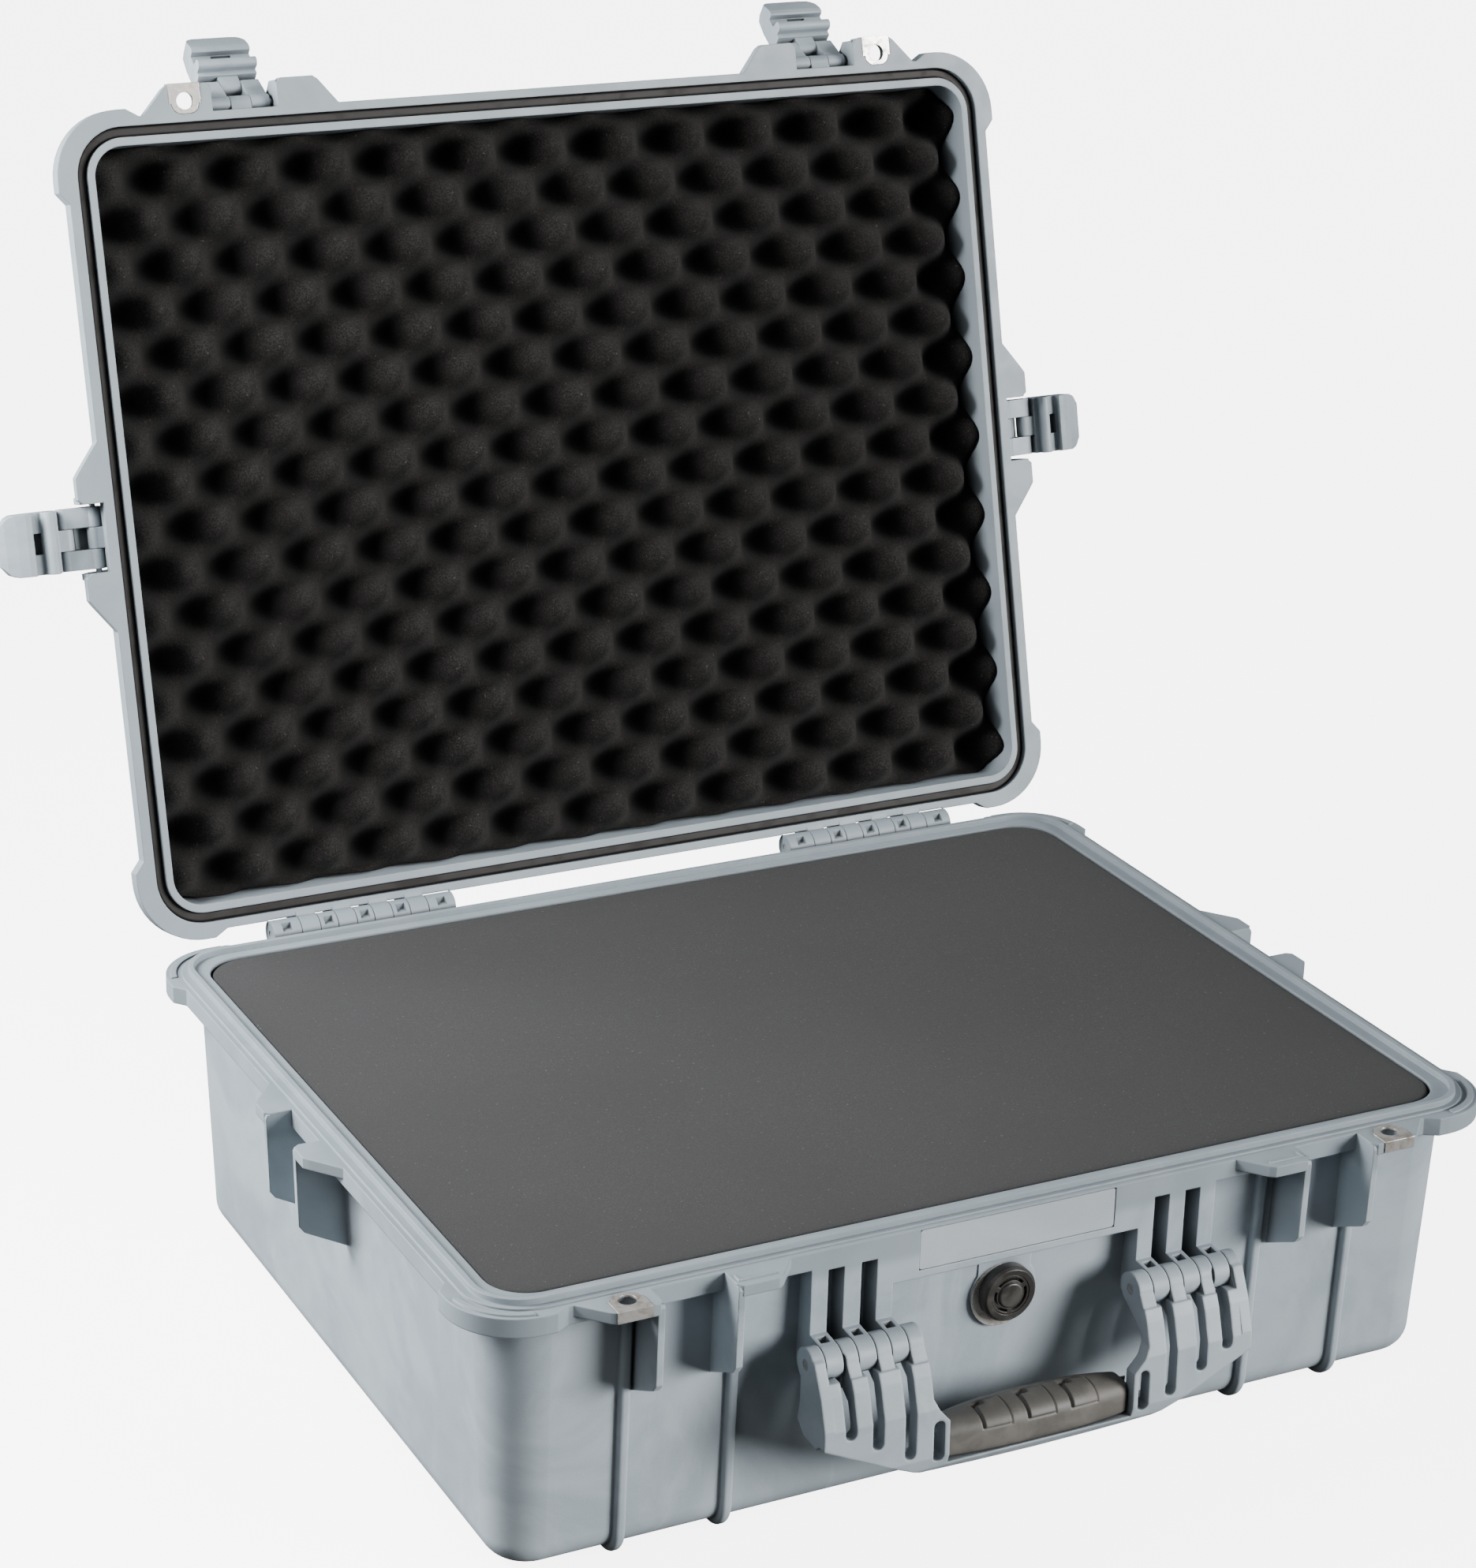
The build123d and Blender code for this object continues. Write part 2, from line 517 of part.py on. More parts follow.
# ---- padlock plates ---------------------------------------------------------------------
for side, word in ((-1, "left"), (1, "right")):
    for owner, z, fold in (("base", BASE_PLATE_Z, -1), ("lid", LID_PLATE_Z, 1)):
        with BuildPart() as plate:
            add(padlock_blank(side * PADLOCK_X, z, fold, 0))
            with Locations((side * PADLOCK_X, -PADLOCK_Y, z)):
                Cylinder(PADLOCK_R, 10, mode=Mode.SUBTRACT)
        finished = plate.part if owner == "base" else swing_open(plate.part)
        save(finished, f"padlock_plate_{owner}_{word}")


# ---- handle -----------------------------------------------------------------------------
with BuildPart() as handle_frame:
    # the U of the frame seen from the front, cut to the frame's slanted section
    with BuildSketch(Plane.XZ.offset(236)):
        with BuildLine():
            Polyline((0, LIP_Z), (GRIP_X + 1.5, LIP_Z), (GRIP_X + 1.5, RIM_Z - 93), (60, RIM_Z - 86),
                     (63, RIM_Z - 80), (63, RIM_Z - 62), (125, RIM_Z - 62), (125, RIM_Z - 94),
                     (68, RIM_Z - 121.5), (35, RIM_Z - 123.6), (0, RIM_Z - 124.5), close=True)
        make_face()
        mirror(about=Plane.YZ)
    extrude(amount=30)
    with BuildSketch(Plane.YZ.offset(-130)) as frame_section:
        with BuildLine():
            Polyline((-249, RIM_Z - 62), (-255, RIM_Z - 62), (-258, RIM_Z - 68), (-263.2, RIM_Z - 85),
                     (-264, RIM_Z - 112), (-262, RIM_Z - 119), (-257, RIM_Z - 125), (-246, RIM_Z - 125),
                     (-241, RIM_Z - 119), (-242, LIP_Z), (-256, RIM_Z - 112), (-256, RIM_Z - 86),
                     (-251, RIM_Z - 70), close=True)
        make_face()
    extrude(amount=260, mode=Mode.INTERSECT)

    # core under the grip
    with BuildSketch(Plane.YZ.offset(-60)) as core:
        with Locations((-250.5, LIP_Z + 6)):
            RectangleRounded(13, 15, 2)
    extrude(amount=120)

    # side flanges and fingers, with their bores
    for low, high in spans(119, 125):
        with BuildSketch(Plane.YZ.offset(low)):
            with BuildLine():
                Polyline((-240, RIM_Z - 48), (-250, RIM_Z - 52), (-258, RIM_Z - 68), (-263.2, RIM_Z - 84),
                         (-262, RIM_Z - 90), (-255, RIM_Z - 97), (-242, RIM_Z - 96), (-234.5, RIM_Z - 90),
                         (-236.5, RIM_Z - 79), (-236.5, RIM_Z - 60), close=True)
            make_face()
        extrude(amount=high - low)
    for finger in FINGERS:
        for low, high in spans(*finger):
            with BuildSketch(Plane.YZ.offset(low)):
                with Locations((HANDLE_Y, HANDLE_Z)):
                    Circle(BARREL_R)
                with BuildLine():
                    Polyline((HANDLE_Y - 5, HANDLE_Z + 7.6), (-258, RIM_Z - 68), (-259.5, RIM_Z - 73),
                             (-252, RIM_Z - 75), (HANDLE_Y + 3, HANDLE_Z - 8.6), close=True)
                make_face()
            extrude(amount=high - low)
    with BuildSketch(Plane.XZ.offset(246)):
        for x, top, bottom in ((110, 50, 91), (94.7, 50, 100), (76.3, 50, 110), (60, 92, 115)):
            for side in SIDES:
                with Locations((side * x, RIM_Z - (top + bottom) / 2)):
                    SlotOverall(bottom - top, 6.4, rotation=90)
    extrude(amount=30, mode=Mode.SUBTRACT)
    with BuildSketch(Plane.YZ):
        with Locations((HANDLE_Y, HANDLE_Z)):
            Circle(HANDLE_PIN_R + RUNNING_FIT)
    extrude(amount=130, both=True, mode=Mode.SUBTRACT)
save(handle_frame.part, "handle_frame")

with BuildPart() as handle_grip:
    with BuildSketch(Plane.YZ.offset(-GRIP_X)) as grip_section:
        with BuildLine():
            Polyline((-238.5, LIP_Z), (-237, LIP_Z + 12), (-241, LIP_Z + 19), (-250, LIP_Z + 22),
                     (-259, LIP_Z + 19), (-264, LIP_Z + 11), (-264.5, LIP_Z), close=True)
        make_face()
        fillet(grip_section.vertices().sort_by(Axis.Y)[1:-1], 2)
    extrude(amount=2 * GRIP_X)
    with BuildSketch(Plane.XZ.offset(230)):
        with BuildLine():
            ThreePointArc((-GRIP_X, LIP_Z + 16.5), (0, LIP_Z + 21.8), (GRIP_X, LIP_Z + 16.5))
            Polyline((GRIP_X, LIP_Z + 16.5), (GRIP_X, LIP_Z - 1), (-GRIP_X, LIP_Z - 1),
                     (-GRIP_X, LIP_Z + 16.5))
        make_face()
    extrude(amount=40, mode=Mode.INTERSECT)
    add(handle_frame.part, mode=Mode.SUBTRACT)
save(handle_grip.part, "handle_grip")


# ---- pins of handle and hinges ------------------------------------------------------------
def cross_pin(y, z, radius, low, high):
    """A pin along X."""
    with BuildPart() as pin:
        with BuildSketch(Plane.YZ.offset(low)):
            with Locations((y, z)):
                Circle(radius)
        extrude(amount=high - low)
    return pin.part


for word, (handle_span, hinge_span) in zip(("left", "right"), zip(spans(63.2, 124.8), spans(111.5, 223.5))):
    save(cross_pin(HANDLE_Y, HANDLE_Z, HANDLE_PIN_R, *handle_span), f"handle_pin_{word}")
    save(cross_pin(HINGE_Y, HINGE_Z, HINGE_PIN_R, *hinge_span), f"hinge_pin_{word}")


# ---- pressure valve: washer, ring, body, membrane, cap, nut ----------------------------------
def on_valve(depth):
    """A plane square to the valve's axis, depth further out than its seat."""
    return Plane((0, -VALVE_SEAT - depth, VALVE_Z), (1, 0, 0), (0, -1, 0))


with BuildPart() as valve_washer:
    with BuildSketch(on_valve(0)):
        with Locations((-1.6, -2.4)):
            Circle(17.6)
            Circle(VALVE_SHANK_R + 3.2, mode=Mode.SUBTRACT)
    extrude(amount=1.0)
save(valve_washer.part, "valve_washer")

with BuildPart() as valve_body:
    with BuildSketch(on_valve(1)):
        Circle(VALVE_R)
    extrude(amount=6.4)
    chamfer(valve_body.faces().sort_by(Axis.Y)[0].edges(), 1.5)
    with BuildSketch(on_valve(-14)):
        Circle(VALVE_SHANK_R)
    extrude(amount=16)
    with BuildSketch(on_valve(3.6)):
        Circle(11.0)
    extrude(amount=5, mode=Mode.SUBTRACT)
    with BuildSketch(on_valve(-15)):
        Circle(4.0)
    extrude(amount=20, mode=Mode.SUBTRACT)
    with BuildSketch(on_valve(1)):
        Circle(13.8)
        Circle(11.2, mode=Mode.SUBTRACT)
    extrude(amount=1.8, mode=Mode.SUBTRACT)
save(valve_body.part, "valve_body")

with BuildPart() as valve_o_ring:
    with BuildSketch(on_valve(1)):
        Circle(13.7)
        Circle(11.3, mode=Mode.SUBTRACT)
    extrude(amount=1.7)
save(valve_o_ring.part, "valve_o_ring")

with BuildPart() as valve_membrane:
    with BuildSketch(on_valve(3.6)):
        Circle(9)
    extrude(amount=0.5)
save(valve_membrane.part, "valve_membrane")

with BuildPart() as valve_cap:
    with BuildSketch(on_valve(4.1)):
        Circle(10.9)
    extrude(amount=3)
    with BuildSketch(on_valve(7.1)):
        Circle(7)
    extrude(amount=1.3)
    fillet(valve_cap.faces().sort_by(Axis.Y)[0].edges(), 1.2)
    with BuildSketch(on_valve(4)):
        Circle(9.6)
        Circle(8.1, mode=Mode.SUBTRACT)
        with PolarLocations(8.85, 3, 30):
            Rectangle(3, 3, mode=Mode.SUBTRACT)
    extrude(amount=6, mode=Mode.SUBTRACT)
save(valve_cap.part, "valve_cap")

with BuildPart() as valve_nut:
    with BuildSketch(on_valve(VALVE_INNER_SEAT - VALVE_SEAT)):
        RegularPolygon(13.5, 6)
        Circle(VALVE_SHANK_R + 0.05, mode=Mode.SUBTRACT)
    extrude(amount=-4.0)
save(valve_nut.part, "valve_nut")


# ---- latches, drawn latched ---------------------------------------------------------------------
# In each latch plane x points out of the case and y up, with the link's pivot at the origin.
LEVER_B = (4.0, -16.0)     # pivot of the lever on the link
LATCH_HALF = 17.5
LEVER_OUTLINE = [(-1.8, -21.4), (8.2, -21.4), (10.2, -25), (10.4, -38), (8.8, -46), (6.4, -52),
                 (4.6, -55.6),
                 (2.2, -55.6), (-1, -52), (-4.2, -46), (-6.3, -40.5), (-6.3, -37.6), (-5.4, -36.9),
                 (-2, -36.9), (-2, -31), (-5.8, -29.6), (-5.8, -23.6), (-2, -24.2)]
NAMES = ("latch_front_left", "latch_front_right", "latch_side_left", "latch_side_right")


def block(bay, half, points, circles=()):
    """A prism centred on a latch plane: an outline with optional rounds, (x, y, r) each."""
    with BuildPart(mode=Mode.PRIVATE) as solid:
        with BuildSketch(bay.offset(-half)):
            with BuildLine():
                Polyline(*points, close=True)
            make_face()
            for x, y, r in circles:
                with Locations((x, y)):
                    Circle(r)
        extrude(amount=2 * half)
    return solid.part


def drill(bay, centre, radius, half):
    """A round bar across a latch, for its pins and their bores."""
    with BuildPart(mode=Mode.PRIVATE) as bar:
        with BuildSketch(bay.offset(-half)):
            with Locations(centre):
                Circle(radius)
        extrude(amount=2 * half)
    return bar.part


def corner_cut(bay, tip):
    """The slanted corner of a lever's tab, on the side tip of the latch plane."""
    face = Plane(bay.origin - 12 * bay.x_dir, bay.z_dir, bay.x_dir)
    with BuildPart(mode=Mode.PRIVATE) as wedge:
        with BuildSketch(face):
            with BuildLine():
                Polyline((tip * (LATCH_HALF + 2), 45), (tip * (LATCH_HALF + 0.1), 46.5),
                         (tip * (LATCH_HALF - 1.5), 50.5), (tip * (LATCH_HALF - 6), 54.5),
                         (tip * (LATCH_HALF - 9), 60), (tip * (LATCH_HALF + 2), 60), close=True)
            make_face()
        extrude(amount=30)
    return wedge.part


def throw_open(part, bay, turn):
    """Turn a latch piece out from the latched place, then open it with the lid."""
    turned = part.rotate(Axis(bay.origin, bay.z_dir), turn)
    return swing_open(turned)


for name, bay in zip(NAMES, latch_planes()):
    turn = LATCH_STOP if "front" in name else SIDE_LATCH_TURN
    with BuildPart() as link:
        add(block(bay, LATCH_HALF, [(-2.8, -3.4), (0, 4.5), (2, 4.4), (6, 2), (8.5, -1), (8.5, -16),
                                    (4.2, -20.5), (-0.5, -16)],
                  [(0, 0, 4.5), (LEVER_B[0], LEVER_B[1], 4.5)]))
        window = [(-8, 6), (12, 6), (12, -0.8), (4.95, -0.8),
                  (4.95, -10.8), (12, -10.8), (12, -24), (-8, -24)]
        add(block(bay, BLOCK_V + 0.3, window), mode=Mode.SUBTRACT)
        add(drill(bay, (0, 0), LATCH_PIN_R + RUNNING_FIT, 20), mode=Mode.SUBTRACT)
        add(drill(bay, LEVER_B, LATCH_PIN_R, 20), mode=Mode.SUBTRACT)
    save(throw_open(link.part, bay, turn), f"{name}_link")

    with BuildPart() as lever:
        add(block(bay, LATCH_HALF, LEVER_OUTLINE, [(-5.6, -26.6, 3.1)]))
        for tip in (-1, 1):
            add(corner_cut(bay, tip), mode=Mode.SUBTRACT)
        add(block(bay, BLOCK_V, [(-0.5, -16), (-0.5, -23), (8.5, -23), (8.5, -16)],
                  [(LEVER_B[0], LEVER_B[1], 4.5)]))
        add(block(bay, 6, [(-4, -31.4), (3.6, -31.4), (3.6, -36.6), (-4, -36.6)]), mode=Mode.SUBTRACT)
        add(drill(bay, LEVER_B, LATCH_PIN_R + RUNNING_FIT, 20), mode=Mode.SUBTRACT)
    save(throw_open(lever.part, bay, turn), f"{name}_lever")

    save(throw_open(drill(bay, (0, 0), LATCH_PIN_R, BAY + FIN_T - 0.2), bay, turn), f"{name}_lid_pin")
    save(throw_open(drill(bay, LEVER_B, LATCH_PIN_R, LATCH_HALF - 0.2), bay, turn), f"{name}_lever_pin")
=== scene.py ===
"""A moulded watertight equipment case standing open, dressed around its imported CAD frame.

Metres, in the CAD frame: X along the front, the handle on the -Y side, Z up from the skid ribs.
"""
import json
from math import cos, pi, radians, sin, tan

import bmesh
import bpy
from mathutils import Matrix, Vector


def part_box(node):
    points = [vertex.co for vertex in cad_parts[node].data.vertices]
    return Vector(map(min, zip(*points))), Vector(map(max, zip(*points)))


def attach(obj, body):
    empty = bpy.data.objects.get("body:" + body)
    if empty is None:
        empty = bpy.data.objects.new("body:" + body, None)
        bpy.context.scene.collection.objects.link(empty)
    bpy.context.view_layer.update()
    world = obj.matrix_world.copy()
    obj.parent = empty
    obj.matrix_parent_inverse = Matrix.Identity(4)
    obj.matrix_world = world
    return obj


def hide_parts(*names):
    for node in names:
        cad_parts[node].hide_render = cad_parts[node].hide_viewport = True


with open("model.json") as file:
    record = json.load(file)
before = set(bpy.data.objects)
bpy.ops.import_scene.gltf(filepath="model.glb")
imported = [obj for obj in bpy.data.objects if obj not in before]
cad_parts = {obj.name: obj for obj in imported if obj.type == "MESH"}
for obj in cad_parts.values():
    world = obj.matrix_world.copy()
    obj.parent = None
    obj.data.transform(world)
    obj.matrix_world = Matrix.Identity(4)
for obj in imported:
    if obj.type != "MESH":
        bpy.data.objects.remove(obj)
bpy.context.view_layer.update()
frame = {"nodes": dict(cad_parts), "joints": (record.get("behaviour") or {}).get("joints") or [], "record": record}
nodes = frame["nodes"]
record = frame["record"]
joints = {joint["name"]: joint for joint in frame["joints"]}

# ---- places worked out from the frame ---------------------------------------------------
LID_HINGE = Vector(joints["lid_hinge"]["pos_m"])
LID_OPEN = radians(-joints["lid_hinge"]["range_deg"][0])
OPEN_TURN = (Matrix.Translation(LID_HINGE) @ Matrix.Rotation(-LID_OPEN, 4, "X")
             @ Matrix.Translation(-LID_HINGE))
HINGE_DROP = 0.001                          # the hinge axis lies this far below the mating plane
RIM_Z = LID_HINGE.z + HINGE_DROP            # mating plane of base and lid


# ---- small node-graph helper --------------------------------------------------------------
WEAR_REACH = 0.0011        # how far from an edge the plastic is rubbed, in metres


class Graph:
    """Builds one node material, wiring each input from a value or from another node's output."""

    def __init__(self, name):
        self.material = bpy.data.materials.new(name)
        self.material.use_nodes = True
        self.tree = self.material.node_tree
        self.shader = self.tree.nodes["Principled BSDF"]

    def node(self, kind, inputs=None, **settings):
        """Adds a node, sets its properties and fills its inputs by name or index."""
        made = self.tree.nodes.new(kind)
        for key, value in settings.items():
            setattr(made, key, value)
        for key, value in (inputs or {}).items():
            self.feed(made.inputs[key], value)
        return made

    def feed(self, socket, value):
        """Links an output to a socket, or sets the socket's own value."""
        if isinstance(value, bpy.types.NodeSocket):
            self.tree.links.new(value, socket)
        else:
            socket.default_value = value

    def place(self):
        """The point in object space, in metres."""
        return self.node("ShaderNodeTexCoord").outputs["Object"]

    def noise(self, scale, detail=3.0, roughness=0.55, distortion=0.0, vector=None):
        """Fractal noise; scale is in cells per metre."""
        inputs = {"Vector": vector or self.place(), "Scale": scale, "Detail": detail,
                  "Roughness": roughness, "Distortion": distortion}
        return self.node("ShaderNodeTexNoise", inputs).outputs["Fac"]

    def spread(self, value, low, high, to_low=0.0, to_high=1.0):
        """Maps value from low..high onto to_low..to_high along an S curve, clamped."""
        inputs = {"Value": value, "From Min": low, "From Max": high,
                  "To Min": to_low, "To Max": to_high}
        made = self.node("ShaderNodeMapRange", inputs, interpolation_type="SMOOTHSTEP")
        return made.outputs["Result"]

    def math(self, operation, a, b=0.0):
        """One scalar operation."""
        return self.node("ShaderNodeMath", {0: a, 1: b}, operation=operation).outputs["Value"]

    def mix(self, factor, a, b, blend="MIX"):
        """Mixes two colours."""
        made = self.node("ShaderNodeMix", data_type="RGBA", blend_type=blend)
        self.feed(made.inputs["Factor"], factor)
        self.feed(made.inputs[6], a)
        self.feed(made.inputs[7], b)
        return made.outputs[2]

    def bump(self, height, distance, strength, normal=None):
        """Turns a height into a normal; distance is in metres."""
        inputs = {"Height": height, "Distance": distance, "Strength": strength}
        if normal is not None:
            inputs["Normal"] = normal
        return self.node("ShaderNodeBump", inputs).outputs["Normal"]

    def rounded(self, radius, samples=6):
        """A normal that softens hard edges by radius, in metres."""
        return self.node("ShaderNodeBevel", {"Radius": radius}, samples=samples).outputs["Normal"]

    def edge_wear(self):
        """How far the softened normal leaves the true one: 0 on flats, up to 1 on edges."""
        soft = self.rounded(WEAR_REACH, 4)
        true = self.node("ShaderNodeNewGeometry").outputs["Normal"]
        dot = self.node("ShaderNodeVectorMath", {0: soft, 1: true}, operation="DOT_PRODUCT")
        return self.math("SUBTRACT", 1.0, dot.outputs["Value"])

    def creases(self, reach, samples=5):
        """1 in the open, falling towards 0 deep in slots and corners within reach metres."""
        open_share = self.node("ShaderNodeAmbientOcclusion", {"Distance": reach}, samples=samples)
        return open_share.outputs["AO"]

    def finish(self, **values):
        """Feeds the shader's inputs and returns the material."""
        for key, value in values.items():
            self.feed(self.shader.inputs[key.replace("_", " ")], value)
        return self.material


def rgb(red, green, blue):
    """An opaque colour."""
    return (red, green, blue, 1.0)


# ---- materials ------------------------------------------------------------------------------
# painted shade: the darker tone laid over the rim and everything above it
RIM_SHADE_TONE = rgb(0.200, 0.240, 0.268)
RIM_SHADE_FADE = (0.020, 0.012)  # below the mating plane, where the rim's painted shade starts and is full
# painted shade: the near-black tone laid into slots, corners and creases
SLOT_SHADE_TONE = rgb(0.022, 0.020, 0.019)
# painted shade: the near-black tone laid into the pits of the lid's convoluted foam
PIT_SHADE_TONE = rgb(0.0058, 0.0055, 0.0053)
METAL_SHARE = 0.62         # bright steel under a dull film, so it keeps some light of its own


def moulded_plastic(name, base, dark, light, edge=0.0010, shade=None, reach=0.016, opened=0.60):
    """Silver-grey structural plastic: faint flow marks, fine moulded texture, rubbed edges.

    shade, when given, is how far everything from the rim up turns towards a darker tone: painted shade on the rim.
    Slots and corners within reach of their walls get painted shade, up to where they are as open as opened.
    """
    g = Graph(name)
    place = g.place()
    flow = g.noise(9.0, 4.0, 0.6, 1.4, place)
    cloud = g.spread(flow, 0.38, 0.62)
    colour = g.mix(cloud, dark, base)
    upright = g.node("ShaderNodeMapping", {"Vector": place, "Scale": (1.0, 1.0, 0.35)})
    streak = g.noise(38.0, 5.0, 0.62, 0.8, upright.outputs["Vector"])
    colour = g.mix(g.spread(streak, 0.56, 0.80, 0.0, 0.45), colour, light)
    grain = g.noise(1900.0, 2.0, 0.5, 0.0, place)
    colour = g.mix(g.spread(grain, 0.3, 0.7, 0.0, 0.16), colour, light)
    worn = g.spread(g.edge_wear(), 0.05, 0.4, 0.0, 0.5)
    rub = g.math("MULTIPLY", worn, g.spread(flow, 0.3, 0.6, 0.4, 1.0))
    colour = g.mix(rub, colour, light)
    # painted shade on the rim and everything above it
    if shade is not None:
        height = g.node("ShaderNodeSeparateXYZ", {"Vector": place}).outputs["Z"]
        start, full = (RIM_Z - drop for drop in RIM_SHADE_FADE)
        colour = g.mix(g.spread(height, start, full, 0.0, shade), colour, RIM_SHADE_TONE)
    # painted shade in slots, corners and creases, from how enclosed each point is
    shadow = g.spread(g.creases(reach), 0.10, opened, 0.16, 1.0)
    colour = g.mix(shadow, SLOT_SHADE_TONE, colour)
    rough = g.spread(g.noise(60.0, 3.0, 0.6, 0.0, place), 0.3, 0.7, 0.44, 0.56)
    texture = g.noise(1300.0, 3.0, 0.6, 0.0, place)
    normal = g.bump(texture, 0.00012, 0.55, g.rounded(edge))
    return g.finish(Base_Color=colour, Roughness=rough, Normal=normal)


def rubber(name, base, light, rough=0.72, cells=900.0):
    """Matt rubber with a dusty bloom and a fine pitted skin."""
    g = Graph(name)
    bloom = g.spread(g.noise(55.0, 5.0, 0.65, 0.6), 0.4, 0.75)
    fine = g.noise(cells, 3.0, 0.6)
    colour = g.mix(bloom, base, light)
    colour = g.mix(g.spread(fine, 0.45, 0.75, 0.0, 0.25), colour, light)
    normal = g.bump(fine, 0.00010, 0.5, g.rounded(0.0006))
    dull = g.spread(bloom, 0.0, 1.0, rough - 0.06, rough + 0.08)
    return g.finish(Base_Color=colour, Roughness=dull, Normal=normal)


def foam(name, base, light, speck, cell=1600.0, pit=0.00018, shade=None):
    """Open-cell foam: tiny pits, paler cell walls and stray specks; shade names a depth attribute, and the deep
    hollows get painted shade.
    """
    g = Graph(name)
    web = g.node("ShaderNodeTexVoronoi", {"Vector": g.place(), "Scale": cell, "Randomness": 1.0})
    cells = web.outputs["Distance"]
    fine = g.noise(cell * 2.1, 3.0, 0.7)
    wall = g.spread(cells, 0.25, 0.75)
    colour = g.mix(wall, base, light)
    colour = g.mix(g.spread(g.noise(7.0, 4.0, 0.6), 0.35, 0.7, 0.0, 0.35), colour, base)
    sparkle = g.spread(g.noise(520.0, 1.0, 0.5), 0.70, 0.78)
    colour = g.mix(g.math("MULTIPLY", sparkle, 0.35), colour, speck)
    # painted shade in the hollows, from the depth attribute
    if shade is not None:
        depth = g.node("ShaderNodeAttribute", attribute_name=shade).outputs["Fac"]
        colour = g.mix(g.spread(depth, 0.22, 0.88), colour, PIT_SHADE_TONE)
    height = g.math("ADD", g.math("MULTIPLY", cells, 0.7), g.math("MULTIPLY", fine, 0.5))
    normal = g.bump(height, pit, 0.8)
    g.shader.inputs["Specular IOR Level"].default_value = 0.06
    g.shader.inputs["Sheen Weight"].default_value = 0.03
    g.shader.inputs["Sheen Roughness"].default_value = 0.6
    return g.finish(Base_Color=colour, Roughness=0.95, Normal=normal)


def steel(name, base, dark, rough):
    """Stainless steel with fine brushing along X and a few dull patches."""
    g = Graph(name)
    stretched = g.node("ShaderNodeMapping", {"Vector": g.place(), "Scale": (1.0, 14.0, 14.0)})
    brush = g.noise(420.0, 4.0, 0.65, 0.0, stretched.outputs["Vector"])
    patch = g.spread(g.noise(160.0, 4.0, 0.6, 0.7), 0.42, 0.7)
    colour = g.mix(patch, base, dark)
    dull = g.math("ADD", g.math("MULTIPLY", brush, 0.6), g.math("MULTIPLY", patch, 0.4))
    roughness = g.spread(dull, 0.2, 0.8, rough - 0.08, rough + 0.14)
    normal = g.bump(brush, 0.00003, 0.35, g.rounded(0.0003))
    return g.finish(Base_Color=colour, Metallic=METAL_SHARE, Roughness=roughness, Normal=normal)


BODY_TONES = (rgb(0.350, 0.405, 0.446), rgb(0.278, 0.328, 0.368), rgb(0.455, 0.510, 0.552))
# the shell gets the painted shade on its rim
SHELL = moulded_plastic("case_shell", *BODY_TONES, shade=0.62)
LATCH = moulded_plastic("latch_plastic", rgb(0.290, 0.340, 0.376), rgb(0.225, 0.268, 0.302),
                        rgb(0.430, 0.485, 0.525), 0.0008)
BADGE = moulded_plastic("plate_plastic", rgb(0.395, 0.440, 0.470), rgb(0.350, 0.395, 0.425),
                        rgb(0.52, 0.56, 0.59), 0.0003)
# the handle frame's painted shade reaches further into its slots
FRAME = moulded_plastic("handle_plastic", *BODY_TONES, 0.0018, reach=0.022, opened=0.80)
SEAL = rubber("seal_rubber", rgb(0.0050, 0.0038, 0.0030), rgb(0.012, 0.0098, 0.0082), 0.7)
GRIP = rubber("grip_rubber", rgb(0.088, 0.083, 0.075), rgb(0.136, 0.129, 0.117), 0.58)
VALVE = rubber("valve_plastic", rgb(0.022, 0.020, 0.018), rgb(0.055, 0.052, 0.048), 0.42)
MEMBRANE = rubber("membrane", rgb(0.70, 0.69, 0.65), rgb(0.78, 0.77, 0.73), 0.6)
BASE_FOAM = foam("base_foam", rgb(0.036, 0.0363, 0.0372), rgb(0.050, 0.0503, 0.0515),
                 rgb(0.16, 0.16, 0.16))
LID_FOAM = foam("lid_foam", rgb(0.0105, 0.0098, 0.0094), rgb(0.0225, 0.0212, 0.0203),
                # the lid foam's pits get painted shade from its depth attribute
                rgb(0.12, 0.11, 0.10), 900.0, 0.0003, "depth")
PLATE = steel("stainless_plate", rgb(0.66, 0.645, 0.615), rgb(0.30, 0.26, 0.21), 0.27)
PIN = steel("pin_steel", rgb(0.56, 0.57, 0.58), rgb(0.36, 0.36, 0.36), 0.34)
BY_SLOT = {"case_shell": SHELL, "latch_plastic": LATCH, "plate_plastic": BADGE,
           "seal_rubber": SEAL, "grip_rubber": GRIP, "valve_plastic": VALVE, "membrane": MEMBRANE,
           "base_foam": BASE_FOAM, "lid_foam": LID_FOAM, "stainless_plate": PLATE, "pin_steel": PIN}

for subpart in record["subparts"]:
    obj = nodes[subpart["node"]]
    obj.data.materials.clear()
    obj.data.materials.append(BY_SLOT[subpart["material_slot"]])
nodes["handle_frame"].data.materials[0] = FRAME


# ---- pieces made here ----------------------------------------------------------------------
def mesh_object(name, points, faces, material, body):
    """A mesh piece that rides on a body and takes a record's slot."""
    mesh = bpy.data.meshes.new(name)
    mesh.from_pydata([tuple(p) for p in points], [], faces)
    mesh.validate()
    mesh.materials.append(material)
    made = bpy.data.objects.new(name, mesh)
    bpy.context.scene.collection.objects.link(made)
    for polygon in mesh.polygons:
        polygon.use_smooth = True
    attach(made, body)
    return made


